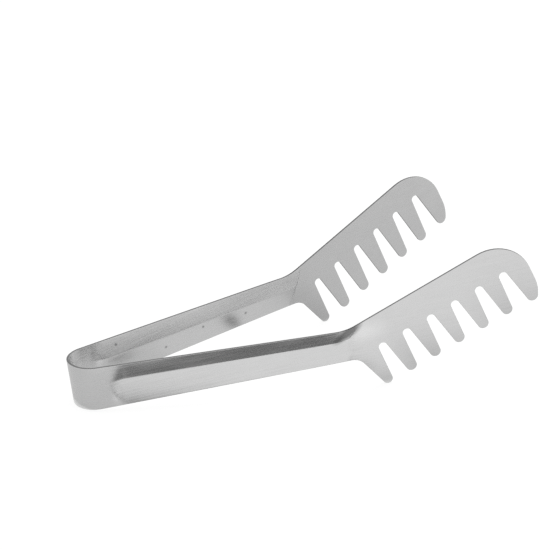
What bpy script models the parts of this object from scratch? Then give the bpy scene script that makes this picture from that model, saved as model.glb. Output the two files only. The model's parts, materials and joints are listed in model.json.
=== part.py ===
"""Spaghetti tongs bent from one strip of stainless steel: a spring bow, two creased arms and two combs.

Metres, +Z up, as the tongs stand on a table: on the bow's lower edge and the tips of both first teeth.
Each side is drawn flat in its own plane, as (along, up, out):
  along runs from the bow's end towards the comb,
  up is the height over the strip's lower edge at the bow's middle,
  out is the distance from the arm's plane, away from the other side.
"""

import math

import bmesh
import bpy
from mathutils import Matrix, Vector

MM = 0.001
DEG = math.pi / 180

# The strip, which is widest at the bow's middle
STRIP_THICKNESS = 1.0 * MM
STRIP_WIDTH = 20.55 * MM
CUT_GAP = 0.3 * MM

# The bow, its radius measured to the middle of the strip's thickness
BOW_RADIUS = 10.35 * MM
ARM_SPLAY = 11.16 * DEG

# The strip's edges, which draw together from the bow's middle to the combs
LOWER_EDGE_FALL = 1.37 * DEG
UPPER_EDGE_FALL = 4.27 * DEG
EDGE_EASE = 6.0 * MM

# Where each arm passes into its comb
FIRST_SLOT_REACH = 123.1 * MM
FIRST_SLOT_HEIGHT = 2.37 * MM
ROOT_LOWER_SETBACK = 13.7 * MM
ROOT_UPPER_SETBACK = 7.0 * MM
ROOT_LOWER_RADIUS = 6.7 * MM
ROOT_UPPER_RADIUS = 20.8 * MM

# The turn of each comb towards the other one, made by the arm's last stretch
COMB_TURN = 1.26 * DEG
COMB_TURN_EASE = 20.0 * MM

# The crease, a fold line that stiffens each arm and hooks up to its upper edge at the comb
CREASE_DEPTH = 1.9 * MM
CREASE_SHARE = 0.6
CREASE_START = 4.9 * MM
CREASE_EASE = 5.0 * MM
HOOK_LENGTH = 5.0 * MM
HOOK_END_GAP = 1.2 * MM
HOOK_TOP_SHARE = 0.97

# The combs, whose sizes are measured along and across the row of slots. The right one's slots are shallower
ROW_ANGLE = 20.2 * DEG
SLOT_COUNT = 6
SLOT_PITCH = 12.0 * MM
LEFT_SLOT_RADIUS = 1.7 * MM
LEFT_SLOT_RISE = 0.5 * MM
RIGHT_SLOT_RADIUS = 1.95 * MM
RIGHT_SLOT_RISE = -2.1 * MM
BACK_HEIGHT = 13.65 * MM
LEFT_TOOTH_REACH = 18.1 * MM
RIGHT_TOOTH_REACH = 17.5 * MM
TOOTH_LEAN = 0.6 * MM
TOOTH_TIP_RADIUS = 2.4 * MM
FIRST_TIP_SETBACK = 5.15 * MM
FIRST_TIP_REACH = 17.4 * MM
FIRST_TIP_RADIUS = 2.15 * MM
LAST_TIP_ADVANCE = 7.1 * MM
LAST_TIP_REACH = 17.8 * MM
LAST_TIP_RADIUS = 2.55 * MM
HOOK_TOP_RADIUS = 17.35 * MM
HOOK_TOP_SETBACK = 5.5 * MM
HOOK_SIDE_RADIUS = 16.8 * MM
HOOK_SIDE_SETBACK = 5.2 * MM
HOOK_SIDE_REACH = 10.5 * MM

# How finely round shapes are cut
ARC_ERROR = 0.03 * MM
BOW_STEPS = 36
ARM_STATIONS = 26
HOOK_STATIONS = 8
SHARP_ANGLE = 5 * DEG

# Satin stainless steel
STEEL_COLOR = (0.62, 0.62, 0.61, 1.0)
STEEL_ROUGHNESS = 0.32
STEEL_METALLIC = 1.0


def clear_scene():
    for old in list(bpy.data.objects):
        bpy.data.objects.remove(old, do_unlink=True)


def steel(name):
    material = bpy.data.materials.new(name)
    material.use_nodes = True
    shader = material.node_tree.nodes["Principled BSDF"]
    shader.inputs["Base Color"].default_value = STEEL_COLOR
    shader.inputs["Roughness"].default_value = STEEL_ROUGHNESS
    shader.inputs["Metallic"].default_value = STEEL_METALLIC
    return material


def direction(angle):
    return Vector((math.cos(angle), math.sin(angle)))


def smooth_step(value):
    share = min(max(value, 0.0), 1.0)
    return share * share * (3 - 2 * share)


def half_bow():
    """The length of the bend from its middle to either arm."""
    return BOW_RADIUS * (math.pi / 2 - ARM_SPLAY)


def eased_run(run, ease):
    """The length run along a line whose slope sets in gently over the length of ease, and is nothing before."""
    if run < ease:
        return max(run, 0.0) ** 2 / (2 * ease)
    return run - ease / 2


def lower_edge(along):
    return -math.tan(LOWER_EDGE_FALL) * eased_run(along + half_bow(), EDGE_EASE)


def falling_upper_edge(along):
    return STRIP_WIDTH - math.tan(UPPER_EDGE_FALL) * eased_run(along + half_bow(), EDGE_EASE)


def comb_pivot():
    """How far along the arm its plane meets the comb's plane."""
    return FIRST_SLOT_REACH - ROOT_LOWER_SETBACK - COMB_TURN_EASE / 2


def turned_in(along):
    """How far the arm's last stretch lies from the arm's plane, towards the other side."""
    return math.tan(COMB_TURN) * eased_run(along - comb_pivot() + COMB_TURN_EASE / 2, COMB_TURN_EASE)


def comb_point(row, height):
    """The (along, up) of a point given along the row of slots and over it, from the first slot's centre."""
    across = ROW_ANGLE + math.pi / 2
    first_slot = Vector((FIRST_SLOT_REACH, FIRST_SLOT_HEIGHT))
    return first_slot + row * direction(ROW_ANGLE) + height * direction(across)


def root_fillet_centre():
    """The centre of the round between the arm's falling upper edge and the comb's rising back edge."""
    edge_normal = direction(math.pi / 2 - UPPER_EDGE_FALL)
    back_normal = direction(math.pi / 2 + ROW_ANGLE)
    edge_point = Vector((EDGE_EASE / 2 - half_bow(), STRIP_WIDTH))
    edge_offset = edge_normal.dot(edge_point) + ROOT_UPPER_RADIUS
    back_offset = back_normal.dot(comb_point(0, BACK_HEIGHT)) + ROOT_UPPER_RADIUS
    normals = Matrix((edge_normal, back_normal))
    return normals.inverted() @ Vector((edge_offset, back_offset))


def upper_edge(along):
    """The height of the arm's upper edge: a falling line, the root's round, then the comb's back edge."""
    centre = root_fillet_centre()
    round_start = centre.x - ROOT_UPPER_RADIUS * math.sin(UPPER_EDGE_FALL)
    round_end = centre.x + ROOT_UPPER_RADIUS * math.sin(ROW_ANGLE)
    if along < round_start:
        return falling_upper_edge(along)
    if along < round_end:
        return centre.y - math.sqrt(ROOT_UPPER_RADIUS**2 - (along - centre.x) ** 2)
    back = comb_point(0, BACK_HEIGHT)
    return back.y + math.tan(ROW_ANGLE) * (along - back.x)


def root_ends(shift):
    """Where the line between arm and comb meets the lower edge and the upper edge, moved by shift."""
    low = FIRST_SLOT_REACH - ROOT_LOWER_SETBACK + shift
    high = FIRST_SLOT_REACH - ROOT_UPPER_SETBACK + shift
    return low, high


def hook_stations():
    """The shares of the arm's length where the crease's hook starts and ends."""
    hook_end = 1 - HOOK_END_GAP / FIRST_SLOT_REACH
    return hook_end - HOOK_LENGTH / FIRST_SLOT_REACH, hook_end


def crease_share(station):
    """Where the crease lies across the arm: a steady share, then a quarter round up to the upper edge."""
    hook_start, hook_end = hook_stations()
    turned = min(max((station - hook_start) / (hook_end - hook_start), 0.0), 1.0)
    return 1 - (1 - CREASE_SHARE) * math.sqrt(1 - turned * turned)


def crease_depth(station, along):
    """How far the crease is pressed in towards the other arm."""
    set_in = smooth_step((along - CREASE_START) / CREASE_EASE)
    left_over = (1 - crease_share(station)) / (1 - CREASE_SHARE)
    return CREASE_DEPTH * set_in * left_over


def arm_stations():
    """Shares of the arm's length where it is cut across, closer together along the crease's hook."""
    hook_start, hook_end = hook_stations()
    plain = [hook_start * i / ARM_STATIONS for i in range(ARM_STATIONS)]
    turns = [math.sin(math.pi / 2 * i / HOOK_STATIONS) for i in range(HOOK_STATIONS + 1)]
    return plain + [hook_start + (hook_end - hook_start) * turn for turn in turns] + [1.0]


def arm_row(station):
    """The points across the arm at one station, from its lower edge over the crease to its upper edge."""
    low_end, high_end = root_ends(-CUT_GAP / 2)
    start = CUT_GAP / 2
    low_along = start + (low_end - start) * station
    high_along = start + (high_end - start) * station
    low = Vector((low_along, lower_edge(low_along)))
    high = Vector((high_along, upper_edge(high_along)))
    depth = crease_depth(station, low_along)
    fold = min(crease_share(station), HOOK_TOP_SHARE)
    row = []
    for share, pressed in ((0, 0), (fold / 2, 0.5), (fold, 1), ((1 + fold) / 2, 0.5), (1, 0)):
        point = low.lerp(high, share)
        row.append((point.x, point.y, -depth * pressed - turned_in(point.x)))
    return row


def arc_points(centre, radius, start, turn):
    step = 2 * math.acos(1 - ARC_ERROR / abs(radius))
    pieces = max(2, math.ceil(abs(turn) / step))
    side = -math.pi / 2
    angles = [start + turn * i / pieces for i in range(pieces + 1)]
    return [centre + radius * direction(angle + side) for angle in angles]


def belt(circles):
    """The line drawn like a belt along circles of (centre, radius), the first and the last being points.

    A positive radius turns it left round the circle and a negative one right.
    """
    headings = []
    for (centre, radius), (next_centre, next_radius) in zip(circles, circles[1:]):
        run = next_centre - centre
        lean = math.asin((radius - next_radius) / run.length)
        headings.append(math.atan2(run.y, run.x) + lean)
    line = [circles[0][0]]
    for (centre, radius), heading, next_heading in zip(circles[1:-1], headings, headings[1:]):
        turn = (next_heading - heading + math.pi) % (2 * math.pi) - math.pi
        line += arc_points(centre, radius, heading, turn)
    line.append(circles[-1][0])
    return line


def teeth_sizes(side):
    """The slots' radius, the height of their centres over the row, and the reach of the teeth between them."""
    if side > 0:
        return LEFT_SLOT_RADIUS, LEFT_SLOT_RISE, LEFT_TOOTH_REACH
    return RIGHT_SLOT_RADIUS, RIGHT_SLOT_RISE, RIGHT_TOOTH_REACH


def comb_outline(side):
    low, high = root_ends(CUT_GAP / 2)
    slot_radius, slot_rise, tooth_reach = teeth_sizes(side)
    root_low = Vector((low, lower_edge(low)))
    root_high = Vector((high, upper_edge(high)))
    last_slot = (SLOT_COUNT - 1) * SLOT_PITCH
    round_along = FIRST_SLOT_REACH - ROOT_LOWER_SETBACK
    round_start = Vector((round_along, lower_edge(round_along)))
    round_centre = round_start - ROOT_LOWER_RADIUS * direction(math.pi / 2 - LOWER_EDGE_FALL)
    circles = [(root_low, 0.0), (round_centre, -ROOT_LOWER_RADIUS)]
    circles.append((comb_point(-FIRST_TIP_SETBACK, -FIRST_TIP_REACH), FIRST_TIP_RADIUS))
    for slot in range(SLOT_COUNT):
        row = slot * SLOT_PITCH
        circles.append((comb_point(row, slot_rise), -slot_radius))
        if row < last_slot:
            middle = row + SLOT_PITCH / 2 + TOOTH_LEAN
            circles.append((comb_point(middle, -tooth_reach), TOOTH_TIP_RADIUS))
    last_tip = comb_point(last_slot + LAST_TIP_ADVANCE, -LAST_TIP_REACH)
    hook_side = comb_point(last_slot - HOOK_SIDE_SETBACK, -HOOK_SIDE_REACH)
    hook_top = comb_point(last_slot - HOOK_TOP_SETBACK, BACK_HEIGHT - HOOK_TOP_RADIUS)
    circles.append((last_tip, LAST_TIP_RADIUS))
    circles.append((hook_side, HOOK_SIDE_RADIUS))
    circles.append((hook_top, HOOK_TOP_RADIUS))
    circles.append((root_high, 0.0))
    return belt(circles)


def sheet_object(name, mesh_maker, parent, side=0):
    """A piece of strip: the sheet halfway through its thickness, made solid by a Solidify modifier."""
    sheet = bmesh.new()
    mesh_maker(sheet, side)
    bmesh.ops.recalc_face_normals(sheet, faces=sheet.faces)
    mesh = bpy.data.meshes.new(name)
    sheet.to_mesh(mesh)
    sheet.free()
    mesh.shade_smooth()
    mesh.set_sharp_from_angle(angle=SHARP_ANGLE)
    mesh.materials.append(steel(name + "_steel"))
    piece = bpy.data.objects.new(name, mesh)
    bpy.context.scene.collection.objects.link(piece)
    piece.parent = parent
    solid = piece.modifiers.new("Thickness", "SOLIDIFY")
    solid.thickness = STRIP_THICKNESS
    solid.offset = 0
    solid.use_even_offset = True
    return piece


def bow_sheet(sheet, side):
    """The bend, from one straight cut across the strip to the other, short of both arms by half the gap."""
    end = half_bow() - CUT_GAP / 2
    cuts = []
    for step in range(BOW_STEPS + 1):
        from_middle = end * (1 - 2 * step / BOW_STEPS)
        spot = direction(math.pi - from_middle / BOW_RADIUS) * BOW_RADIUS
        along = abs(from_middle) - half_bow()
        edges = (lower_edge(along), falling_upper_edge(along))
        cuts.append([sheet.verts.new((spot.x, spot.y, up)) for up in edges])
    for (low, high), (next_low, next_high) in zip(cuts, cuts[1:]):
        sheet.faces.new((low, next_low, next_high, high))


def arm_sheet(sheet, side):
    rows = []
    for station in arm_stations():
        rows.append([sheet.verts.new((along, side * out, up)) for along, up, out in arm_row(station)])
    for row, next_row in zip(rows, rows[1:]):
        for i in range(len(row) - 1):
            sheet.faces.new((row[i], next_row[i], next_row[i + 1], row[i + 1]))


def comb_sheet(sheet, side):
    pivot = comb_pivot()
    sheet.faces.new([sheet.verts.new((point.x - pivot, 0, point.y)) for point in comb_outline(side)])


def empty(name):
    holder = bpy.data.objects.new(name, None)
    bpy.context.scene.collection.objects.link(holder)
    return holder


def add_side(name, side, stand):
    """One arm with its comb. The arm's origin is on its bending line, at the bow's end."""
    arm = sheet_object(name + "_arm", arm_sheet, stand, side)
    bend_angle = math.pi / 2 + ARM_SPLAY
    bend = direction(bend_angle) * BOW_RADIUS
    arm.location = (bend.x, side * bend.y, 0)
    arm.rotation_euler.z = side * ARM_SPLAY
    comb = sheet_object(name + "_comb", comb_sheet, arm, side)
    comb.location.x = comb_pivot()
    comb.rotation_euler.z = -side * COMB_TURN
    return arm, comb


def rest_tilt():
    """How far the strip leans back, so that the bow's lower edge and the first teeth stand on one table."""
    tip = comb_point(-FIRST_TIP_SETBACK, -FIRST_TIP_REACH)
    pivot = comb_pivot()
    bow_front = -BOW_RADIUS - STRIP_THICKNESS / 2
    pivot_front = pivot * math.cos(ARM_SPLAY) - BOW_RADIUS * math.sin(ARM_SPLAY)
    tip_front = pivot_front + (tip.x - pivot) * math.cos(ARM_SPLAY - COMB_TURN)
    run = Vector((tip_front - bow_front, -tip.y))
    return math.atan2(run.y, run.x) + math.asin(FIRST_TIP_RADIUS / run.length)


def stand_on_table(stand, pieces):
    """Tilts the tongs to rest, then moves their box over the middle of the floor, at height zero."""
    stand.rotation_euler.y = -rest_tilt()
    bpy.context.view_layer.update()
    graph = bpy.context.evaluated_depsgraph_get()
    points = []
    for piece in pieces:
        solid = piece.evaluated_get(graph)
        points += [solid.matrix_world @ vertex.co for vertex in solid.data.vertices]
    along = [point.x for point in points]
    stand.location.x = -(min(along) + max(along)) / 2
    stand.location.z = -min(point.z for point in points)
    bpy.context.view_layer.update()


def main():
    clear_scene()
    stand = empty("stand")
    pieces = [sheet_object("spring_bow", bow_sheet, stand)]
    for name, side in (("left", 1), ("right", -1)):
        pieces += add_side(name, side, stand)
    stand_on_table(stand, pieces)


if __name__ == "__main__":
    main()
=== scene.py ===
"""Spaghetti tongs of satin stainless steel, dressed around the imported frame.

Each side is drawn flat, as (along, up, out), and then bent round the bow:
  along runs from the line where the bow meets the arm towards the comb, and is negative on the bow,
  up is the height over the strip's lower edge,
  out is the distance from the middle of the strip, away from the other side.
"""

import json
import math
from functools import reduce
from types import SimpleNamespace
import bmesh
import bpy
from mathutils import Matrix, Vector


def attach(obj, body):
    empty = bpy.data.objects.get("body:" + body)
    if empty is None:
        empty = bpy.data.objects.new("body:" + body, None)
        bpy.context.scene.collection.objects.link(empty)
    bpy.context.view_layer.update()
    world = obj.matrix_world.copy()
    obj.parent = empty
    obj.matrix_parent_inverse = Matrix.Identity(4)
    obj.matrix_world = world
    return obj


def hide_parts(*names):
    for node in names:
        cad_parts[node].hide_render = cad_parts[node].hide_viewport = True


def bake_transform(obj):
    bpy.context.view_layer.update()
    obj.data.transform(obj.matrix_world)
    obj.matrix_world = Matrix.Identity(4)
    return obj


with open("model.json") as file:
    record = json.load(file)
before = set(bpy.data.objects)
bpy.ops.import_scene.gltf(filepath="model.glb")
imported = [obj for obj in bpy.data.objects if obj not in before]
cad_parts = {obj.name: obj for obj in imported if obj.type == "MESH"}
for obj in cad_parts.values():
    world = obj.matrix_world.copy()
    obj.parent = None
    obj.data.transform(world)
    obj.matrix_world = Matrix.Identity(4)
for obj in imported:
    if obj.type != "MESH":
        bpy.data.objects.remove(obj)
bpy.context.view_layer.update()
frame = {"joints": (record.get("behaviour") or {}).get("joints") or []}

bl_info = {
    "name": "Spaghetti tongs",
    "version": (1, 0, 0),
    "blender": (4, 5, 0),
    "location": "3D View > Sidebar > Tongs",
    "description": "Makes a pair of stainless steel spaghetti tongs and their studio",
    "category": "Add Mesh",
}

MM = 0.001
SIDES = {"left": 1, "right": -1}


# Sizes and finishes that a user would change


def maker(kind, scale=None, **fixed):
    """A maker of one kind of property, which asks for a name, a description and a default."""

    def make(name, description, default, **own):
        if scale:
            default = default * scale
        return kind(name=name, description=description, default=default, **(fixed | own))

    return make


number = maker(bpy.props.FloatProperty, min=0)
length = maker(bpy.props.FloatProperty, scale=MM, min=0, precision=5, unit="LENGTH")
angle = maker(bpy.props.FloatProperty, scale=math.radians(1), subtype="ANGLE", unit="ROTATION")
share = maker(bpy.props.FloatProperty, min=0, max=1, subtype="FACTOR")
surface_color = maker(bpy.props.FloatVectorProperty, min=0, max=1, subtype="COLOR")
stage_point = maker(bpy.props.FloatVectorProperty, subtype="TRANSLATION", unit="LENGTH")


class TongsSizes(bpy.types.PropertyGroup):
    thickness: length("Thickness", "How thick the sheet is", 1.0)
    edge_radius: length("Edge radius", "How far the tumbled edges of the sheet are rounded", 0.15)
    width: length("Width", "How wide the strip is at the bow's middle", 20.55)
    bow_radius: length("Bow radius", "Radius of the bend, to the middle of the sheet", 10.35)
    splay: angle("Splay", "How far each arm opens from the middle", 11.16)
    comb_turn: angle("Comb turn", "How far each comb turns back towards the other one", 1.26)
    comb_turn_ease: length("Comb turn ease", "Over what length the arm turns into the comb's plane", 20.0)
    slot_reach: length("First slot reach", "From the bow's end to the first slot", 123.1)
    slot_height: length("First slot height", "The first slot's centre over the bow's lower edge", 2.37)
    lower_fall: angle("Lower edge fall", "How far the lower edge draws in from the bow's middle", 1.37)
    upper_fall: angle("Upper edge fall", "How far the upper edge draws in from the bow's middle", 4.27)
    edge_ease: length("Edge ease", "Over what length the fall of both edges sets in", 6.0)
    root_low_setback: length("Lower root setback", "From the arm's end to the first slot, below", 13.7)
    root_high_setback: length("Upper root setback", "From the arm's end to the first slot, above", 7.0)
    root_low_radius: length("Lower root radius", "The round between the arm and the first tooth", 6.7)
    root_high_radius: length("Upper root radius", "The round between the arm and the comb's back", 20.8)
    crease_depth: length("Crease depth", "How far the arm's crease is pressed in", 1.9)
    crease_share: share("Crease height", "Where the crease runs, as a share of the arm's width", 0.6)
    crease_start: length("Crease start", "From the bow's end to where the crease sets in", 3.6)
    crease_ease: length("Crease ease", "Over what length the crease sets in", 7.5)
    crease_round: length("Crease round", "Half the width of the crease's rounded ridge", 0.4)
    hook_length: length("Hook length", "Over what length the crease turns up to the edge", 4.0)
    hook_end_gap: length("Hook end gap", "From the crease's end to the comb", 0.1)
    row_angle: angle("Row angle", "How far the row of slots rises from the arm", 20.2)
    slot_count: bpy.props.IntProperty(name="Slots", description="Slots in each comb", default=6, min=2)
    slot_pitch: length("Slot pitch", "From one slot to the next", 12.0)
    left_slot_radius: length("Left slot radius", "The round at the root of a slot of the left comb", 1.7)
    left_slot_rise: length("Left slot rise", "How far its centre lies over the row", 0.5, min=-50 * MM)
    left_tooth_reach: length("Left tooth reach", "From the row down to the centre of a left tip", 18.1)
    right_slot_radius: length("Right slot radius", "The round at the root of a slot of the right comb", 1.95)
    right_slot_rise: length("Right slot rise", "How far its centre lies over the row", -2.1, min=-50 * MM)
    right_tooth_reach: length("Right tooth reach", "From the row down to the centre of a right tip", 17.5)
    back_height: length("Back height", "From the row of slots to the comb's back", 13.65)
    tooth_lean: length("Tooth lean", "How far a tooth's tip leans along the row", 0.6)
    tip_radius: length("Tip radius", "The round at a tooth's tip", 2.4)
    first_tip_setback: length("First tip setback", "From the first slot back to the first tip", 5.15)
    first_tip_reach: length("First tip reach", "From the row of slots to the first tip's centre", 17.4)
    first_tip_radius: length("First tip radius", "The round at the first tooth's tip", 2.15)
    last_tip_advance: length("Last tip advance", "From the last slot on to the last tip", 7.1)
    last_tip_reach: length("Last tip reach", "From the row of slots to the last tip's centre", 17.8)
    last_tip_radius: length("Last tip radius", "The round at the last tooth's tip", 2.55)
    nose_side_radius: length("Nose side radius", "The flat round of the comb's outer end", 16.8)
    nose_side_setback: length("Nose side setback", "From the last slot back to that round's centre", 5.2)
    nose_side_reach: length("Nose side reach", "From the row of slots down to that round's centre", 10.5)
    nose_top_radius: length("Nose top radius", "The round between the comb's back and its end", 17.35)
    nose_top_setback: length("Nose top setback", "From the last slot back to that round's centre", 5.5)
    bow_seam: length("Bow seam", "How far up the bend, from each arm, the rigid middle of the bow ends", 9.0)
    flex_reach: length("Flex reach", "How far the flexing runs to both sides of each arm's start", 8.0)


class TongsFinish(bpy.types.PropertyGroup):
    steel: surface_color("Steel", "Colour of the steel", (0.63, 0.63, 0.63))
    roughness: share("Roughness", "How satin the steel is", 0.27)
    grain: share("Grain", "Strength of the brushed grain along the strip", 0.35)
    clouding: share("Clouding", "Strength of the soft smudges", 0.4)
    # Painted shade on the stamped edges, for the dark that they mirror.
    edge_shade: share("Edge shade", "How much darker the stamped edges are", 0.72)
    dent_radius: length("Dent radius", "Radius of the small dents left by handling", 1.0)
    # Painted shade in the dents and the crease's hook, and painted highlights at the comb's root and the
    # crease's start.
    dent_shade: share("Dent shade", "How much darker the dents are", 0.6)
    hook_shade: share("Hook shade", "How much darker the steel is in the crease's hook", 0.7)
    root_light: share("Root light", "How much paler the steel is at the comb's root", 0.14)
    start_light: share("Start light", "How much paler the steel is where the crease sets in", 0.28)


class TongsStage(bpy.types.PropertyGroup):
    lens: number("Lens", "The camera's focal length", 196.36, min=1, subtype="DISTANCE_CAMERA")
    camera_turn: angle("Camera turn", "The camera's direction round the tongs", -23.021)
    camera_rise: angle("Camera rise", "The camera's height over the horizon", 24.678)
    camera_distance: number("Camera distance", "From the camera to its aim", 1.29982, unit="LENGTH")
    camera_aim: stage_point("Camera aim", "The middle of the picture", (-0.003981, 0.000914, 0.04368))
    floor_white: share("Floor white", "How much of the floor is plain white in the picture", 0.9)
    floor_color: surface_color("Floor", "Colour of the floor", (0.9, 0.9, 0.9))
    lamp_width: length("Lamp width", "How wide the soft lamp overhead is", 1200.0)
    lamp_place: stage_point("Lamp place", "Where the soft lamp overhead hangs", (0, 0.15, 1.3))
    lamp_power: number("Lamp", "Power of the soft lamp overhead", 20.0, unit="POWER")
    world_light: number("World light", "Strength of the light from all round", 0.7)
    # Strengths of the painted floor shadow, which only the steel mirrors, in each of its parts.
    arm_band: share("Band by the arms", "How dark the steel sees the floor beside the arms", 0.81)
    comb_band: share("Band by the combs", "How dark the steel sees the floor beside the combs", 0.3)
    between_arms: share("Between the arms", "How dark the steel sees the floor between the arms", 0.36)
    between_combs: share("Between the combs", "How dark the steel sees the floor between the combs", 0.27)
    round_bow: share("Round the bow", "How dark the steel sees the floor near the bow", 0.27)
    stray: share("Stray reflections", "How dark the two stray reflections in the left arm are", 0.95)


# Nodes


def titled(name):
    """The name of a socket, such as Bow Radius for bow_radius."""
    return name.replace("_", " ").title()


def operator(name, reflected=False):
    """A method of a Value that adds a Math node."""

    def apply(value, other):
        terms = (other, value) if reflected else (value, other)
        return value.nodes.math(name, *terms)

    return apply


class Value:
    """A number from a socket. Sums with it add Math nodes to its tree."""

    def __init__(self, nodes, socket):
        self.nodes = nodes
        self.socket = socket

    def __neg__(self):
        return self * -1

    __add__ = __radd__ = operator("ADD")
    __mul__ = __rmul__ = operator("MULTIPLY")
    __sub__ = operator("SUBTRACT")
    __rsub__ = operator("SUBTRACT", reflected=True)
    __truediv__ = operator("DIVIDE")
    __rtruediv__ = operator("DIVIDE", reflected=True)
    __gt__ = operator("GREATER_THAN")
    __lt__ = operator("LESS_THAN")


class Nodes:
    """Adds nodes to one tree."""

    def __init__(self, tree):
        self.tree = tree

    def add(self, kind, *ordered, settings=None, **named):
        """A new node. After its settings, its sockets get values or links, in order or by name."""
        node = self.tree.nodes.new(kind)
        for name, setting in (settings or {}).items():
            setattr(node, name, setting)
        for given, socket in zip(ordered, node.inputs):
            self.join(given, socket)
        for name, given in named.items():
            socket = next(s for s in node.inputs if s.name == titled(name) and s.enabled)
            for one in given if isinstance(given, list) else [given]:
                self.join(one, socket)
        return node

    def join(self, given, socket):
        """Links a value, a node or a socket to the socket, or sets it to a plain number, colour or name."""
        if isinstance(given, Value):
            given = given.socket
        if isinstance(given, bpy.types.Node):
            given = next(s for s in given.outputs if s.enabled)
        if isinstance(given, bpy.types.NodeSocket):
            self.tree.links.new(given, socket)
        else:
            socket.default_value = given

    def number(self, node, output=0):
        sockets = [s for s in node.outputs if s.enabled]
        if isinstance(output, str):
            return Value(self, next(s for s in sockets if s.name == output))
        return Value(self, sockets[output])

    def math(self, operation, *terms):
        node = self.add("ShaderNodeMath", *terms, settings={"operation": operation})
        return Value(self, node.outputs[0])

    def smaller(self, *values):
        return reduce(lambda one, other: self.math("MINIMUM", one, other), values)

    def larger(self, *values):
        return reduce(lambda one, other: self.math("MAXIMUM", one, other), values)

    def within(self, value, low=0.0, high=1.0):
        return self.smaller(self.larger(value, low), high)

    def smooth(self, value):
        """0 up to 0, 1 from 1 on, and a gentle S in between."""
        held = self.within(value)
        return held * held * (3 - 2 * held)

    def root(self, value):
        return self.math("SQRT", self.larger(value, 0.0))

    def distance(self, x, y):
        return self.root(x * x + y * y)

    def vector(self, x, y, z):
        return self.add("ShaderNodeCombineXYZ", x, y, z)

    def parts(self, vector):
        node = self.add("ShaderNodeSeparateXYZ", vector)
        return [self.number(node, i) for i in range(3)]

    def vector_math(self, operation, *terms):
        return self.add("ShaderNodeVectorMath", *terms, settings={"operation": operation})

    def scaled(self, vector, factor):
        node = self.vector_math("SCALE", vector)
        self.join(factor, node.inputs["Scale"])
        return node


class Form(Nodes):
    """A Geometry Nodes tree with named inputs."""

    def __init__(self, name, sizes, material):
        super().__init__(bpy.data.node_groups.new(name, "GeometryNodeTree"))
        self.material = material
        sockets = self.tree.interface
        sockets.new_socket("Geometry", in_out="INPUT", socket_type="NodeSocketGeometry")
        sockets.new_socket("Geometry", in_out="OUTPUT", socket_type="NodeSocketGeometry")
        for size, value in sizes.items():
            kind = "NodeSocketInt" if isinstance(value, int) else "NodeSocketFloat"
            sockets.new_socket(titled(size), in_out="INPUT", socket_type=kind).default_value = value
        given = self.add("NodeGroupInput")
        self.base = given.outputs["Geometry"]
        self.sizes = SimpleNamespace(**{size: Value(self, given.outputs[titled(size)]) for size in sizes})

    def attribute(self, name, data_type="FLOAT"):
        node = self.add("GeometryNodeInputNamedAttribute", settings={"data_type": data_type}, name=name)
        return self.number(node, "Attribute")

    def store(self, geometry, name, value, data_type="FLOAT"):
        return self.add(
            "GeometryNodeStoreNamedAttribute",
            settings={"data_type": data_type, "domain": "POINT"},
            geometry=geometry,
            name=name,
            value=value,
        )

    def keep(self, geometry, selection):
        points = {"domain": "POINT"}
        return self.add("GeometryNodeSeparateGeometry", geometry, selection, settings=points)

    def drop(self, geometry, *names):
        for name in names:
            geometry = self.add("GeometryNodeRemoveAttribute", geometry=geometry, name=name)
        return geometry

    def end(self, geometry):
        """Closes the tree with Realize Instances and Set Material."""
        real = self.add("GeometryNodeRealizeInstances", geometry=geometry)
        dressed = self.add("GeometryNodeSetMaterial", geometry=real, material=self.material)
        self.add("NodeGroupOutput", geometry=dressed)


def linked(name, data):
    """A new object in the scene."""
    thing = bpy.data.objects.new(name, data)
    bpy.context.scene.collection.objects.link(thing)
    return thing


def formed_mesh(name, base, form, sizes):
    """The plain mesh that a form's tree makes of a base mesh with these sizes."""
    helper = linked(name + "_form", base)
    modifier = helper.modifiers.new("Form", "NODES")
    modifier.node_group = form.tree
    sockets = form.tree.interface.items_tree
    identifiers = {socket.name: socket.identifier for socket in sockets if socket.in_out == "INPUT"}
    for size, value in sizes.items():
        modifier[identifiers[titled(size)]] = value
    bpy.context.view_layer.update()
    graph = bpy.context.evaluated_depsgraph_get()
    mesh = bpy.data.meshes.new_from_object(helper.evaluated_get(graph))
    helper.modifiers.remove(modifier)
    bpy.data.objects.remove(helper)
    bpy.data.meshes.remove(base)
    mesh.name = name
    return mesh


# The flat drawing


def direction(turn):
    return Vector((math.cos(turn), math.sin(turn)))


def comb_point(sizes, row, height):
    """The (along, up) of a point given along the row of slots and over it."""
    first_slot = Vector((sizes.slot_reach, sizes.slot_height))
    return first_slot + row * direction(sizes.row_angle) + height * direction(sizes.row_angle + math.pi / 2)


def half_bow(sizes):
    """The length of the bend from its middle to either arm."""
    return sizes.bow_radius * (math.pi / 2 - sizes.splay)


def edge_run(sizes, along):
    """The length from the bow's middle over which the strip's edges have drawn in."""
    return along + half_bow(sizes) - sizes.edge_ease / 2


def lower_edge(sizes, along):
    return -math.tan(sizes.lower_fall) * edge_run(sizes, along)


def comb_pivot(sizes):
    """How far along the arm its plane meets the comb's plane."""
    return root_ends(sizes)[0] - sizes.comb_turn_ease / 2


def root_round_centre(sizes):
    """The centre of the round between the arm's upper edge and the comb's back."""
    edge_normal = direction(math.pi / 2 - sizes.upper_fall)
    back_normal = direction(math.pi / 2 + sizes.row_angle)
    edge_point = Vector((sizes.edge_ease / 2 - half_bow(sizes), sizes.width))
    edge_offset = edge_normal.dot(edge_point) + sizes.root_high_radius
    back_offset = back_normal.dot(comb_point(sizes, 0, sizes.back_height)) + sizes.root_high_radius
    return Matrix((edge_normal, back_normal)).inverted() @ Vector((edge_offset, back_offset))


def root_ends(sizes):
    """Where the line between arm and comb meets the lower edge and the upper edge."""
    return sizes.slot_reach - sizes.root_low_setback, sizes.slot_reach - sizes.root_high_setback


def hook_stations(sizes):
    """Where along the arm, from 0 at the bow to 1 at the comb, the crease starts and ends its turn up."""
    hook_end = 1 - sizes.hook_end_gap / sizes.slot_reach
    return hook_end - sizes.hook_length / sizes.slot_reach, hook_end


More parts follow.
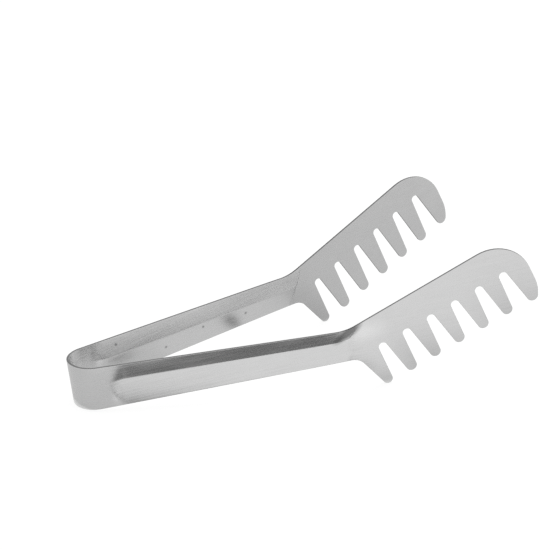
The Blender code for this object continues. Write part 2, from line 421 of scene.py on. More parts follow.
def upper_edge(sizes, along):
    """The height of the upper edge: it falls along the arm and rises as the comb's back."""
    centre = root_round_centre(sizes)
    radius = sizes.root_high_radius
    from_centre = along - centre.x
    round_end = radius * math.sin(sizes.row_angle)
    if from_centre < -radius * math.sin(sizes.upper_fall):
        return sizes.width - math.tan(sizes.upper_fall) * edge_run(sizes, along)
    if from_centre < round_end:
        return centre.y - math.sqrt(radius**2 - from_centre**2)
    climbed = (from_centre - round_end) * math.tan(sizes.row_angle)
    return centre.y - radius * math.cos(sizes.row_angle) + climbed


def root_line(sizes):
    """Two points of the line between arm and comb, as (along, up)."""
    low, high = root_ends(sizes)
    return Vector((low, lower_edge(sizes, low))), Vector((high, upper_edge(sizes, high)))


def inputs_from(sizes, *names):
    """Sizes that are inputs of a form as they are."""
    return {name: getattr(sizes, name) for name in names}


def bend_values(sizes, side):
    return inputs_from(sizes, "thickness", "bow_radius", "splay", "comb_turn") | {
        "half_bow": half_bow(sizes),
        "comb_pivot": comb_pivot(sizes),
        "side": float(side),
    }


def bent(form, along, up, out):
    """The position of a point of the flat drawing, once the strip is bent round the bow."""
    bow = form.sizes.bow_radius
    splay = form.sizes.splay
    turn = form.larger(-along, 0.0) / bow + splay + math.pi / 2
    straight = form.larger(along, 0.0)
    radius = bow + out
    x = radius * form.math("COSINE", turn) + straight * form.math("COSINE", splay)
    y = radius * form.math("SINE", turn) + straight * form.math("SINE", splay)
    return form.vector(x, y * form.sizes.side, up)


def placed(form, geometry, along, up, out):
    """The geometry, bent round the bow.

    Its attribute strip holds the run along the strip from the bow's middle, which is negative on the right
    side, the height, and the layer of the sheet, from -0.5 on the inner face to 0.5 on the outer one.
    """
    sizes = form.sizes
    run = (along + sizes.half_bow) * sizes.side
    layer = form.attribute("lift") / sizes.thickness
    marked = form.store(geometry, "strip", form.vector(run, up, layer), "FLOAT_VECTOR")
    spot = bent(form, along, up, out)
    return form.add("GeometryNodeSetPosition", geometry=marked, position=spot)


def base_mesh(points, edges, attributes):
    """The points and edges that a tree starts from, with their attributes."""
    mesh = bpy.data.meshes.new("base")
    mesh.from_pydata(points, edges, [])
    for name, values in attributes.items():
        mesh.attributes.new(name, "FLOAT", "POINT").data.foreach_set("value", values)
    return mesh


def face_inset(sizes):
    """How far the flat of a face stays from the sheet's edge: the rounded rim and a narrow border."""
    border = 0.15 * MM
    return sizes.edge_radius + border


def rim_points(sizes):
    """The (inset, lift) of the sheet's rounded rim, from its inner face round to its outer face."""
    steps = 5
    face = sizes.thickness / 2
    radius = sizes.edge_radius
    turns = [math.pi / 2 * i / steps for i in range(steps + 1)]
    low = [(radius * (1 - math.sin(turn)), radius * (1 - math.cos(turn)) - face) for turn in turns]
    high = [(inset, -lift) for inset, lift in reversed(low)]
    return [(face_inset(sizes), -face)] + low + high + [(face_inset(sizes), face)]


# The strip: the bow and the arms

# Where a face has points across the strip, as shares with the crease at 0.5, densest by the crease.
ACROSS = (0.12, 0.25, 0.38, 0.44, 0.465, 0.48, 0.49, 0.5, 0.51, 0.52, 0.535, 0.56, 0.62, 0.75, 0.88)


def strip_values(sizes, side):
    low, high = root_ends(sizes)
    hook_start, hook_end = hook_stations(sizes)
    edges = ("width", "edge_ease", "lower_fall", "upper_fall", "row_angle", "comb_turn_ease")
    crease = ("crease_depth", "crease_share", "crease_start", "crease_ease", "crease_round")
    return bend_values(sizes, side) | inputs_from(sizes, *edges, *crease) | {
        "face_inset": face_inset(sizes),
        "reach": low,
        "root_slant": high - low,
        "root_round": sizes.root_high_radius,
        "root_round_along": root_round_centre(sizes).x,
        "hook_start": hook_start,
        "hook_end": hook_end,
    }


def strip_form(sizes, material):
    """A closed section swept along the stations of the strip, then creased and bent."""
    form = Form("Creased strip", strip_values(sizes, 1), material)
    size = form.sizes
    is_path = form.attribute("is_path")
    path = form.drop(form.keep(form.base, is_path > 0.5), "across", "inset", "lift")
    path = form.add("GeometryNodeMeshToCurve", mesh=path)
    section = form.add("GeometryNodeMeshToCurve", mesh=form.keep(form.base, is_path < 0.5))
    swept = form.add("GeometryNodeCurveToMesh", curve=path, profile_curve=section, fill_caps=True)
    station = form.attribute("station")
    across = form.attribute("across") * 2

    def eased(run, ease, slope):
        """How far a line has come whose slope sets in gently over the length of ease."""
        held = form.within(run, 0.0, ease)
        gone = held * held / (2 * ease) + form.larger(run - ease, 0.0)
        return gone * form.math("TANGENT", slope)

    def fallen(along, fall):
        return eased(form.math("ABSOLUTE", along + size.half_bow), size.edge_ease, fall)

    def turned_in(along):
        run = along - size.comb_pivot + size.comb_turn_ease / 2
        return eased(run, size.comb_turn_ease, size.comb_turn)

    low = station * size.reach
    high = low + form.larger(station, 0.0) * size.root_slant
    low_up = -fallen(low, size.lower_fall)
    radius = size.root_round
    round_start = -radius * form.math("SINE", size.upper_fall)
    round_end = radius * form.math("SINE", size.row_angle)
    from_centre = high - size.root_round_along
    turned = form.within(from_centre, round_start, round_end)
    on_line = form.smaller(high, size.root_round_along + round_start)
    on_round = radius * form.math("COSINE", size.upper_fall) - form.root(radius * radius - turned * turned)
    on_back = form.larger(from_centre - round_end, 0.0) * form.math("TANGENT", size.row_angle)
    high_up = size.width - fallen(on_line, size.upper_fall) + on_round + on_back

    hooked = form.within((station - size.hook_start) / (size.hook_end - size.hook_start))
    above = (1 - size.crease_share) * (1 - form.smooth(hooked))
    set_in = form.smooth((low - size.crease_start) / size.crease_ease)
    depth = size.crease_depth * set_in * above / (1 - size.crease_share)

    inset = size.face_inset
    height = high_up - low_up
    least_over_fold = 1.5 * inset
    fold = form.smaller((1 - above) * height, height - least_over_fold)
    over_fold = height - fold
    over_border = inset + (fold - inset) * form.smaller(across, 1.0)
    level = over_border + (over_fold - inset) * form.larger(across - 1, 0.0) + form.attribute("inset")
    most_rounded = 0.45 * over_fold
    rounded = form.smaller(size.crease_round, most_rounded)
    sharp_press = form.smaller(level / fold, (height - level) / over_fold)
    run_in = level - fold + rounded
    slopes = 1 / fold + 1 / over_fold
    soft_press = 1 - rounded / fold + run_in / fold - run_in * run_in / (4 * rounded) * slopes
    is_soft = form.math("ABSOLUTE", level - fold) < rounded
    pressed = sharp_press + (soft_press - sharp_press) * is_soft

    along = low + (high - low) * level / height
    out = form.attribute("lift") - depth * pressed - turned_in(along)
    form.end(placed(form, swept, along, low_up + level, out))
    return form


def strip_base(sizes, stations):
    """The section of the sheet as a loop and the stations along it as a line, with their attributes."""
    rim = [(inset - face_inset(sizes), lift) for inset, lift in rim_points(sizes)]
    face = sizes.thickness / 2
    loop = [(0.0, inset, lift) for inset, lift in rim]
    loop += [(across, 0.0, face) for across in ACROSS]
    loop += [(1.0, -inset, -lift) for inset, lift in rim]
    loop += [(across, 0.0, -face) for across in reversed(ACROSS)]
    count = len(loop)
    points = [(inset, lift, across) for across, inset, lift in loop] + [(s, 1.0, 0.0) for s in stations]
    edges = [(i, (i + 1) % count) for i in range(count)]
    edges += [(count + i, count + i + 1) for i in range(len(stations) - 1)]
    none = [0.0] * len(stations)
    attributes = {
        "is_path": [0.0] * count + [1.0] * len(stations),
        "station": [0.0] * count + list(stations),
        "across": [point[0] for point in loop] + none,
        "inset": [point[1] for point in loop] + none,
        "lift": [point[2] for point in loop] + none,
    }
    return base_mesh(points, edges, attributes)


def even_steps(first, last, steps):
    """The starts of this many even steps from first to last."""
    return [first + (last - first) * i / steps for i in range(steps)]


def bow_stations(sizes):
    """Stations from one seam round the bow's middle to the other."""
    steps = 60
    first = sizes.bow_seam - 2 * half_bow(sizes)
    last = -sizes.bow_seam
    reach = root_ends(sizes)[0]
    return [along / reach for along in even_steps(first, last, steps) + [last]]


def arm_stations(sizes):
    """Stations from the bow's seam to just past the comb's root, closer together along the crease's hook."""
    bow_steps = 30
    arm_steps = 190
    hook_steps = 28
    root_steps = 6
    past_root = 1.02
    hook_start, hook_end = hook_stations(sizes)
    hook = [math.sin(math.pi / 2 * i / hook_steps) for i in range(hook_steps)]
    stations = even_steps(-sizes.bow_seam / root_ends(sizes)[0], 0, bow_steps)
    stations += even_steps(0, hook_start, arm_steps)
    stations += [hook_start + (hook_end - hook_start) * turn for turn in hook]
    return stations + even_steps(hook_end, past_root, root_steps) + [past_root]


# The combs

# Into how many points a corner is rounded, and how far each outline starts and ends past the comb's root.
CORNER_STEPS = 14
OVERLAP = 2 * MM
# The places in the outline's order where the slots and teeth start, and where the last corners start.
REPEAT_ORDER = 100.0
LAST_ORDER = 10000.0


def tangent_corners(circles):
    """The corners of the lines drawn like a belt along circles of (centre, radius), each with its radius.

    A positive radius turns left round the circle and a negative one right. The first and the last circle
    have no corner.
    """
    lines = []
    for (centre, radius), (next_centre, next_radius) in zip(circles, circles[1:]):
        run = next_centre - centre
        heading = math.atan2(run.y, run.x) + math.asin((radius - next_radius) / run.length)
        lines.append((centre + radius * direction(heading - math.pi / 2), direction(heading)))
    corners = []
    for (point, way), (next_point, next_way), (_, radius) in zip(lines, lines[1:], circles[1:]):
        share = (next_point - point).cross(next_way) / way.cross(next_way)
        corners.append((point + share * way, abs(radius)))
    return corners


def teeth_sizes(sizes, side):
    """The slots' radius, how far their centres lie over the row, and the reach of the teeth between them."""
    if side > 0:
        return sizes.left_slot_radius, sizes.left_slot_rise, sizes.left_tooth_reach
    return sizes.right_slot_radius, sizes.right_slot_rise, sizes.right_tooth_reach


def slot_circle(sizes, side, slot):
    radius, rise, _ = teeth_sizes(sizes, side)
    return comb_point(sizes, slot * sizes.slot_pitch, rise), -radius


def tooth_circle(sizes, side, tooth):
    """The tip of a tooth between two slots, counted from the slot before it."""
    reach = teeth_sizes(sizes, side)[2]
    return comb_point(sizes, (tooth + 0.5) * sizes.slot_pitch + sizes.tooth_lean, -reach), sizes.tip_radius


def first_corners(sizes, side):
    """The outline's corners from the arm to the first slot."""
    low, _ = root_line(sizes)
    fall = direction(-sizes.lower_fall)
    root = low - sizes.root_low_radius * direction(math.pi / 2 - sizes.lower_fall)
    tip = comb_point(sizes, -sizes.first_tip_setback, -sizes.first_tip_reach)
    circles = [(low - OVERLAP * fall, 0.0), (root, -sizes.root_low_radius), (tip, sizes.first_tip_radius)]
    circles += [slot_circle(sizes, side, 0), tooth_circle(sizes, side, 0)]
    return circles[:1] + tangent_corners(circles)


def last_corners(sizes, side):
    """The outline's corners from the last slot round the comb's nose and along its back to the arm."""
    last = sizes.slot_count - 1
    row = last * sizes.slot_pitch
    _, high = root_line(sizes)
    tip = comb_point(sizes, row + sizes.last_tip_advance, -sizes.last_tip_reach)
    nose_side = comb_point(sizes, row - sizes.nose_side_setback, -sizes.nose_side_reach)
    nose_top = comb_point(sizes, row - sizes.nose_top_setback, sizes.back_height - sizes.nose_top_radius)
    circles = [tooth_circle(sizes, side, last - 1), slot_circle(sizes, side, last)]
    circles += [(tip, sizes.last_tip_radius), (nose_side, sizes.nose_side_radius)]
    circles.append((nose_top, sizes.nose_top_radius))
    end = (high - OVERLAP * direction(sizes.row_angle), 0.0)
    return tangent_corners(circles + [end]) + [end]


def comb_base(sizes, side):
    """The rim's section as a line, and the outline's corners that don't repeat, with their attributes."""
    rim = rim_points(sizes)
    first = first_corners(sizes, side)
    last = last_corners(sizes, side)
    corners = first + last
    none = [0.0] * len(corners)
    points = [(inset, lift, 1.0) for inset, lift in rim] + [(spot.x, spot.y, 0.0) for spot, _ in corners]
    orders = list(range(len(first))) + [LAST_ORDER + i for i in range(len(last))]
    attributes = {
        "order": [-1.0] * len(rim) + orders,
        "round": [0.0] * len(rim) + [radius for _, radius in corners],
        "inset": [inset for inset, _ in rim] + none,
        "lift": [lift for _, lift in rim] + none,
    }
    return base_mesh(points, [(i, i + 1) for i in range(len(rim) - 1)], attributes)


def comb_values(sizes, side):
    first_slot = comb_point(sizes, 0, 0)
    circles = [circle(sizes, side, i) for i in (0, 1) for circle in (slot_circle, tooth_circle)]
    to_row = Matrix.Rotation(-sizes.row_angle, 2)
    tooth, slot = [to_row @ (corner - first_slot) for corner, _ in tangent_corners(circles)]
    row = inputs_from(sizes, "slot_count", "slot_pitch", "row_angle", "tip_radius")
    return bend_values(sizes, side) | row | {
        "row_along": first_slot.x,
        "row_up": first_slot.y,
        "tooth_corner_along": tooth.x,
        "tooth_corner_up": tooth.y,
        "slot_corner_along": slot.x,
        "slot_corner_up": slot.y,
        "slot_radius": teeth_sizes(sizes, side)[0],
        "face_inset": face_inset(sizes),
    }


def comb_form(sizes, material):
    """Repeats the corners of slots and teeth along the row, rounds them, and adds rim and faces."""
    form = Form("Comb", comb_values(sizes, 1), material)
    size = form.sizes
    order = form.attribute("order")
    section = form.add("GeometryNodeMeshToCurve", mesh=form.keep(form.base, order < -0.5))
    ends = form.drop(form.keep(form.base, order > -0.5), "inset", "lift")

    index = form.number(form.add("GeometryNodeInputIndex"))
    is_slot = form.math("MODULO", index, 2.0)
    row = form.math("FLOOR", index / 2) * size.slot_pitch
    row = row + size.tooth_corner_along * (1 - is_slot) + size.slot_corner_along * is_slot
    over = size.tooth_corner_up * (1 - is_slot) + size.slot_corner_up * is_slot
    cosine = form.math("COSINE", size.row_angle)
    sine = form.math("SINE", size.row_angle)
    spot = form.vector(
        size.row_along + row * cosine - over * sine, size.row_up + row * sine + over * cosine, 0.0
    )
    line = form.add("GeometryNodeMeshLine", count=size.slot_count * 2 - 3)
    line = form.add("GeometryNodeSetPosition", geometry=line, position=spot)
    line = form.store(line, "order", index + REPEAT_ORDER)
    line = form.store(line, "round", size.slot_radius * is_slot + size.tip_radius * (1 - is_slot))

    corners = form.add("GeometryNodeJoinGeometry", geometry=[ends, line])
    corners = form.add("GeometryNodeMeshToPoints", mesh=corners)
    outline = form.add("GeometryNodePointsToCurves", points=corners, weight=order)
    outline = form.add(
        "GeometryNodeFilletCurve",
        settings={"mode": "POLY"},
        curve=outline,
        count=CORNER_STEPS,
        radius=form.attribute("round"),
    )
    ahead, upwards, _ = form.parts(form.add("GeometryNodeInputTangent"))
    inward = form.vector(-upwards, ahead, 0.0)
    position = form.add("GeometryNodeInputPosition")
    outline = form.store(outline, "spot", position, "FLOAT_VECTOR")
    outline = form.store(outline, "inward", inward, "FLOAT_VECTOR")

    def inset_to(geometry, inset):
        shift = form.scaled(form.attribute("inward", "FLOAT_VECTOR"), inset)
        moved = form.vector_math("ADD", form.attribute("spot", "FLOAT_VECTOR"), shift)
        return form.add("GeometryNodeSetPosition", geometry=geometry, position=moved)

    rim = form.add("GeometryNodeCurveToMesh", curve=outline, profile_curve=section)
    rim = inset_to(rim, form.attribute("inset"))
    face = inset_to(outline, size.face_inset)
    face = form.add("GeometryNodeSetSplineCyclic", face, cyclic=True)
    face = form.add("GeometryNodeFillCurve", settings={"mode": "NGONS"}, curve=face)
    outer = form.store(face, "lift", size.thickness / 2)
    inner = form.add("GeometryNodeFlipFaces", mesh=face)
    inner = form.store(inner, "lift", size.thickness / -2)
    sheet = form.add("GeometryNodeJoinGeometry", geometry=[rim, outer, inner])
    flat_along, flat_up, _ = form.parts(position)
    past_pivot = flat_along - size.comb_pivot
    cosine = form.math("COSINE", size.comb_turn)
    sine = form.math("SINE", size.comb_turn)
    lift = form.attribute("lift")
    along = size.comb_pivot + past_pivot * cosine + lift * sine
    sheet = placed(form, sheet, along, flat_up, lift * cosine - past_pivot * sine)
    touching = 0.001 * MM
    form.end(form.add("GeometryNodeMergeByDistance", geometry=sheet, distance=touching))
    return form


# Pieces in the frame


def stand(sizes):
    """The bow's own place in the frame: how the left arm's joint says that the tongs stand and lean."""
    joint = next(joint for joint in frame["joints"] if joint["name"] == "left_flex")
    up = -Vector(joint["axis"]).normalized()
    side = Vector((0, 1, 0))
    forward = side.cross(up)
    turn = math.pi / 2 + sizes.splay
    centre = Vector(joint["pos_m"]) - sizes.bow_radius * (math.cos(turn) * forward + math.sin(turn) * side)
    return Matrix.Translation(centre) @ Matrix((forward, side, up)).transposed().to_4x4()


def bent_point(sizes, side, along, up):
    """The place, before the stand, of a point in the middle of the sheet, up to the comb's root."""
    turn = math.pi / 2 + sizes.splay + max(-along, 0) / sizes.bow_radius
    past_pivot = max(along - comb_pivot(sizes), 0)
    x, y = sizes.bow_radius * direction(turn)
    x, y = Vector((x, y)) + (max(along, 0) - past_pivot) * direction(sizes.splay)
    x, y = Vector((x, y)) + past_pivot * direction(sizes.splay - sizes.comb_turn)
    return Vector((x, side * y, up))


def root_plane(sizes, side):
    """A point of the plane between arm and comb, square to the sheet, and its normal towards the comb."""
    low, high = [bent_point(sizes, side, *end) for end in root_line(sizes)]
    outwards = direction(math.pi / 2 + sizes.splay - sizes.comb_turn)
    outwards = Vector((outwards.x, side * outwards.y, 0))
    return low, side * outwards.cross(high - low)


def finished(name, mesh, sizes, cut=None):
    """The piece, cut at a plane if one is given, closed, turned right side out and set in the frame."""
    sharp_edge = math.radians(35)
    on_plane = 0.0001 * MM
    shape = bmesh.new()
    shape.from_mesh(mesh)
    if cut:
        point, normal = cut
        halves = bmesh.ops.bisect_plane(
            shape,
            geom=shape.verts[:] + shape.edges[:] + shape.faces[:],
            dist=on_plane,
            plane_co=point,
            plane_no=normal,
            clear_outer=True,
        )
        rim = [item for item in halves["geom_cut"] if isinstance(item, bmesh.types.BMEdge)]
        bmesh.ops.holes_fill(shape, edges=rim)
    bmesh.ops.recalc_face_normals(shape, faces=shape.faces)
    shape.to_mesh(mesh)
    shape.free()
    mesh.transform(stand(sizes))
    mesh.shade_smooth()
    mesh.set_sharp_from_angle(angle=sharp_edge)
    piece = linked(name, mesh)
    return piece


# Finishes

# Marks on the steel, in millimetres. Dents are (run, up), on the left arm's inner face. Ovals of painted
# highlight and painted shade are (run, up, half length, half height), on both arms.
DENTS = ((31.2, 15.0), (55.2, 3.8), (74.7, 6.1), (97.2, 3.7))
PAINTED_HIGHLIGHT_AT_ROOT = (131.0, 9.5, 14.0, 7.0)
PAINTED_HIGHLIGHT_AT_START_OUTSIDE = (21.1, 5.0, 3.0, 6.5)
PAINTED_HIGHLIGHT_AT_START_INSIDE = (22.2, 14.5, 3.0, 6.5)
PAINTED_SHADE_IN_HOOK = (123.5, 10.2, 7.6, 3.6)
HOOK_RISE = 0.55


def emptied(owner):
    """The nodes of a material or a world, with none in them yet."""
    owner.use_nodes = True
    owner.node_tree.nodes.clear()
    return Nodes(owner.node_tree)


def new_material(name, surface):
    """A material with the surface that a function adds to its nodes."""
    material = bpy.data.materials.new(name)
    nodes = emptied(material)
    nodes.add("ShaderNodeOutputMaterial", surface=surface(nodes))
    return material


def steel():
    """The one material of the tongs, made the first time that a piece asks for it."""
    name = "satin_steel"
    return bpy.data.materials.get(name) or new_material(name, steel_surface)


def steel_surface(nodes):
    """Satin stainless steel: brushed along the strip, softly clouded, with painted shade on its rims and in
    its small dents.

    Paler ovals at the comb's root and where the crease sets in are painted highlights, and a darker one in
    the crease's hook is painted shade; they stand for what the pressed steel mirrors there.
    """
    finish = bpy.context.scene.tongs_finish
    strip = nodes.add(
        "ShaderNodeAttribute", settings={"attribute_type": "GEOMETRY", "attribute_name": "strip"}
    )
    run, up, layer = nodes.parts(strip.outputs["Vector"])
    along = nodes.math("ABSOLUTE", run)
    outside = layer > 0

    def pattern(run_length, up_length, detail):
        """Noise from -0.5 to 0.5 with features of about these millimetres, other ones on each face."""
        faces_apart = 8
        spot = nodes.vector(run / (run_length * MM), up / (up_length * MM), layer * faces_apart)
        noise = nodes.add("ShaderNodeTexNoise", vector=spot, scale=1.0, detail=detail)
        return nodes.number(noise) - 0.5

    def in_oval(at_run, at_up, half_length, half_height, rise=0.0):
        """1 in the middle of an oval that may rise along the strip, evenly down to 0 at its rim."""
        past = along - at_run * MM
        over = up - at_up * MM - past * rise
        return 1 - nodes.distance(past / (half_length * MM), over / (half_height * MM))

    clouds = pattern(run_length=14, up_length=7, detail=3.0)
    smudges = pattern(run_length=4, up_length=2.5, detail=2.0)
    fine_grain = pattern(run_length=6, up_length=0.16, detail=2.0)
    broad_grain = pattern(run_length=22, up_length=0.8, detail=2.0)

    # The rims get painted shade for the dark that the sheet's edges mirror.
    face_layer = 0.49
    rim_ease = 0.05
    rim = nodes.smooth((face_layer - nodes.math("ABSOLUTE", layer)) / rim_ease)
    # The dents dip in the bump, and their colour gets painted shade.
    from_dents = [nodes.distance(run - at_run * MM, up - at_up * MM) for at_run, at_up in DENTS]
    dent = (1 - nodes.smooth(nodes.smaller(*from_dents) / finish.dent_radius)) * (layer < 0)
    # Painted highlight at the comb's root.
    painted_root_highlight = nodes.smooth(in_oval(*PAINTED_HIGHLIGHT_AT_ROOT)) * outside
    # Painted highlight where the crease sets in, on both faces.
    painted_start_highlight = nodes.smooth(in_oval(*PAINTED_HIGHLIGHT_AT_START_OUTSIDE)) * outside
    painted_start_highlight = painted_start_highlight + nodes.smooth(in_oval(*PAINTED_HIGHLIGHT_AT_START_INSIDE)) * (1 - outside)
    # Painted shade in the crease's hook.
    hook_fullness = 1.8
    painted_hook_shade = nodes.within(in_oval(*PAINTED_SHADE_IN_HOOK, HOOK_RISE) * hook_fullness) * outside

    shade = 1 + (clouds * 0.16 + smudges * 0.12) * finish.clouding
    shade = shade + (broad_grain * 0.12 + fine_grain * 0.1) * finish.grain
    shade = shade + painted_root_highlight * finish.root_light + painted_start_highlight * finish.start_light
    shade = shade - painted_hook_shade * finish.hook_shade - dent * finish.dent_shade
    shade = shade * (1 - rim * finish.edge_shade)
    rough = finish.roughness + rim * 0.1
    rough = rough + clouds * (0.3 * finish.clouding) + broad_grain * (0.8 * finish.grain)
    height = fine_grain * 0.5 + broad_grain * 5 + clouds * 2 - dent * 8
    relief = 0.004 * MM
    bump = nodes.add("ShaderNodeBump", strength=1.0, distance=relief, height=height)
    color = nodes.scaled(tuple(finish.steel), shade)
    return nodes.add(
        "ShaderNodeBsdfPrincipled", base_color=color, metallic=1.0, roughness=nodes.within(rough), normal=bump
    )


# The studio


def seen_white(nodes):
    """1 for the rays that show the background: from the camera, from metal and through glass."""
    path = nodes.add("ShaderNodeLightPath")
    rays = ("Is Camera Ray", "Is Glossy Ray", "Is Transmission Ray")
    return nodes.larger(*[nodes.number(path, ray) for ray in rays])


def floor_surface(nodes):
    """A pale floor whose picture is mostly plain white, so that it joins the background."""
    settings = bpy.context.scene.tongs_stage
    place = nodes.add("ShaderNodeTexCoord").outputs["Object"]
    noise = nodes.add("ShaderNodeTexNoise", vector=place, scale=40.0, detail=4.0)
    speckle = 0.02
    tint = nodes.number(noise) * speckle + (1 - speckle / 2)
    color = nodes.scaled(tuple(settings.floor_color), tint)
    matt = nodes.add("ShaderNodeBsdfDiffuse", color=color)
    white = nodes.add("ShaderNodeEmission", color=(1, 1, 1, 1), strength=1.0)
    whiteness = seen_white(nodes) * settings.floor_white
    return nodes.add("ShaderNodeMixShader", whiteness, matt, white)


def painted_shadow_card_surface(nodes):
    """Painted floor shadow: black where the steel is to mirror a shaded floor, and see-through elsewhere."""
    clear = nodes.add("ShaderNodeBsdfTransparent")
    dark = nodes.add("ShaderNodeEmission", color=(0, 0, 0, 1), strength=0.0)
    return nodes.add("ShaderNodeMixShader", painted_floor_shadow(nodes), clear, dark)


def painted_floor_shadow(nodes):
    """Painted floor shadow that the steel mirrors: most in a band beside the arms, less under the combs and
    in between.

    Both sides are alike, but between the arms the left side is half as dark and has two stray dark spots.
    Distances are in millimetres, along an arm from its bow end and outwards from it.
    """
    sizes = bpy.context.scene.tongs_sizes
    settings = bpy.context.scene.tongs_stage
    start = stand(sizes) @ bent_point(sizes, 1, 0, 0)
    forward, aside, _ = nodes.parts(nodes.add("ShaderNodeTexCoord").outputs["Object"])
    from_bow = forward - start.x
    from_start = nodes.math("ABSOLUTE", aside) - start.y
    cosine = math.cos(sizes.splay)
    sine = math.sin(sizes.splay)
    along = from_bow * cosine + from_start * sine
    out = from_start * cosine - from_bow * sine

    def past(value, first, ease):
        """0 up to first, then softly up to 1 over the length of ease."""
        return nodes.smooth((value - first * MM) / (ease * MM))

    def between(value, first, rise, last, fall):
        """Softly up to 1 past first, and softly back to 0 past last."""
        return past(value, first, rise) * (1 - past(value, last, fall))

    def beside(first, rise, reach, fall):
        """1 past a place along the arm, out to a reach from it."""
        return past(along, first, rise) * (1 - past(out, reach, fall))

    def spot(at_along, at_out, half_length, half_width):
        """1 in the middle of an oval, softly down to 0 at its rim."""
        past_along = (along - at_along * MM) / (half_length * MM)
        past_out = (out - at_out * MM) / (half_width * MM)
        return 1 - nodes.smooth(nodes.distance(past_along, past_out))

    by_root = past(along, first=110, ease=5)
    drawn_in = by_root * 8 * MM
    widened = along * 0.12 + (1 - past(along, first=12, ease=12)) * 3 * MM
    band = past(out - drawn_in, first=3, ease=3) * (1 - past(out - widened + drawn_in, first=11, ease=5))
    band = band * between(along, first=10, rise=2.5, last=119, fall=8) * (1 - by_root * 0.5)

    first_tip = beside(first=116, rise=8, reach=4, fall=18) * 0.7
    other_tips = beside(first=126, rise=22, reach=10, fall=45)
    nose = beside(first=175, rise=25, reach=48, fall=32)
    under_combs = past(out, first=0, ease=3) * nodes.larger(first_tip, other_tips, nose)

    on_left = past(aside, first=-2, ease=3)
    at_combs = past(along, first=103, ease=25)
    at_root = between(along, first=114, rise=10, last=128, fall=20)
    inside = settings.between_arms * past(along, first=-10, ease=60) * (1 - at_combs) * (1 - on_left * 0.5)
    inside = inside + settings.between_combs * at_combs + at_root * 0.12
    inside = inside * (1 - past(out, first=-4, ease=4))
    stray = nodes.larger(spot(25, -13.5, 16, 4), spot(85, -13.5, 7, 9)) * on_left
    round_bow = between(nodes.distance(from_bow, aside), first=10, rise=1, last=35, fall=40)
    outside = nodes.larger(band * settings.arm_band, under_combs * settings.comb_band)
    return nodes.larger(outside, inside, stray * settings.stray, round_bow * settings.round_bow)


def stage_plane(name, half, height, material):
    corners = [(-half, -half, height), (half, -half, height), (half, half, height), (-half, half, height)]
    mesh = bpy.data.meshes.new(name)
    mesh.from_pydata(corners, [], [(0, 1, 2, 3)])
    mesh.materials.append(material)
    plane = linked(name, mesh)
    return plane


def make_floor():
    """The floor, and just over it a card of painted shadow that shows only in the metal's reflections."""
    floor_half = 3.0
    card_half = 0.25
    card_height = 0.05 * MM
    stage_plane("floor", floor_half, 0, new_material("studio_floor", floor_surface))
    card = stage_plane("painted_shadow_card", card_half, card_height, new_material("painted_shadow_card", painted_shadow_card_surface))
    for rays in ("camera", "diffuse", "shadow", "transmission"):
        setattr(card, "visible_" + rays, False)


def make_world(settings):
    """Even light from all round, which shows as plain white behind the tongs and in the metal."""
    world = bpy.data.worlds.new("studio")
    nodes = emptied(world)
    strength = settings.world_light + seen_white(nodes) * (1 - settings.world_light)
    light = nodes.add("ShaderNodeBackground", color=(1, 1, 1, 1), strength=strength)
    nodes.add("ShaderNodeOutputWorld", surface=light)
    bpy.context.scene.world = world


def make_lamp(settings):
    """A wide round lamp overhead, which the metal doesn't mirror."""
    lamp = bpy.data.lights.new("overhead", "AREA")
    lamp.shape = "DISK"
    lamp.size = settings.lamp_width
    lamp.energy = settings.lamp_power
    holder = linked("overhead", lamp)
    holder.location = settings.lamp_place
    holder.visible_glossy = False


def make_camera(settings):
    """The camera, at the photograph's viewing angle."""
    turn = settings.camera_turn
    rise = settings.camera_rise
    back = Vector((math.sin(turn) * math.cos(rise), -math.cos(turn) * math.cos(rise), math.sin(rise)))
    camera = bpy.data.cameras.new("camera")
    camera.lens = settings.lens
    holder = linked("camera", camera)
    holder.location = Vector(settings.camera_aim) + settings.camera_distance * back
    holder.rotation_euler = (math.pi / 2 - rise, 0, turn)
    bpy.context.scene.camera = holder


# Operators


class TONGS_OT_bow(bpy.types.Operator):
    """Make the spring bow that joins the two arms"""

    bl_idname = "tongs.bow"
    bl_label = "Spring bow"

    def execute(self, context):
        sizes = context.scene.tongs_sizes
        form = strip_form(sizes, steel())
        base = strip_base(sizes, bow_stations(sizes))
        mesh = formed_mesh("bow_bend", base, form, strip_values(sizes, SIDES["left"]))
        piece = finished("bow_bend", mesh, sizes)
        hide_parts("spring_bow")
        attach(piece, "bow")
        return {"FINISHED"}


class TONGS_OT_arms(bpy.types.Operator):
    """Make the two creased arms"""

    bl_idname = "tongs.arms"
    bl_label = "Arms"

    def execute(self, context):
        sizes = context.scene.tongs_sizes
        form = strip_form(sizes, steel())
        for name, side in SIDES.items():
            piece_name = name + "_blade"
            base = strip_base(sizes, arm_stations(sizes))
            mesh = formed_mesh(piece_name, base, form, strip_values(sizes, side))
            piece = finished(piece_name, mesh, sizes, root_plane(sizes, side))
            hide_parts(name + "_arm")
            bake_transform(piece)
        return {"FINISHED"}


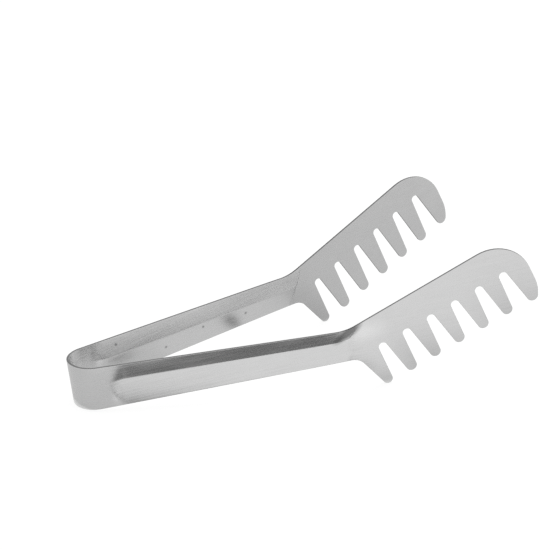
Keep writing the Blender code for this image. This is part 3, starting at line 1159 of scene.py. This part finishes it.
class TONGS_OT_combs(bpy.types.Operator):
    """Make the two toothed combs"""

    bl_idname = "tongs.combs"
    bl_label = "Combs"

    def execute(self, context):
        sizes = context.scene.tongs_sizes
        form = comb_form(sizes, steel())
        for name, side in SIDES.items():
            piece_name = name + "_teeth"
            mesh = formed_mesh(piece_name, comb_base(sizes, side), form, comb_values(sizes, side))
            point, normal = root_plane(sizes, side)
            piece = finished(piece_name, mesh, sizes, (point, -normal))
            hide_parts(name + "_comb")
            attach(piece, name + "_side")
        return {"FINISHED"}


class TONGS_OT_studio(bpy.types.Operator):
    """Make the pale floor, the card of painted floor shadow that the steel mirrors, the soft light and the
    camera
    """

    bl_idname = "tongs.studio"
    bl_label = "Studio"

    def execute(self, context):
        settings = context.scene.tongs_stage
        make_floor()
        make_world(settings)
        make_lamp(settings)
        make_camera(settings)
        context.scene.view_settings.view_transform = "Standard"
        return {"FINISHED"}


OPERATORS = (TONGS_OT_bow, TONGS_OT_arms, TONGS_OT_combs, TONGS_OT_studio)
SETTINGS = {"tongs_sizes": TongsSizes, "tongs_finish": TongsFinish, "tongs_stage": TongsStage}


class TONGS_PT_panel(bpy.types.Panel):
    """The buttons that make the pieces, and their sizes and finishes"""

    bl_label = "Spaghetti tongs"
    bl_idname = "TONGS_PT_panel"
    bl_space_type = "VIEW_3D"
    bl_region_type = "UI"
    bl_category = "Tongs"

    def draw(self, context):
        for operator in OPERATORS:
            self.layout.operator(operator.bl_idname)
        for name, group in SETTINGS.items():
            box = self.layout.box()
            for setting in group.__annotations__:
                box.prop(getattr(context.scene, name), setting)


def register():
    for group in (*SETTINGS.values(), *OPERATORS, TONGS_PT_panel):
        bpy.utils.register_class(group)
    for name, group in SETTINGS.items():
        setattr(bpy.types.Scene, name, bpy.props.PointerProperty(type=group))


def unregister():
    for name in SETTINGS:
        delattr(bpy.types.Scene, name)
    for group in (TONGS_PT_panel, *OPERATORS, *SETTINGS.values()):
        bpy.utils.unregister_class(group)


def main():
    register()
    bpy.ops.tongs.bow()
    bpy.ops.tongs.arms()
    bpy.ops.tongs.combs()
    bpy.ops.tongs.studio()


if __name__ == "__main__":
    main()
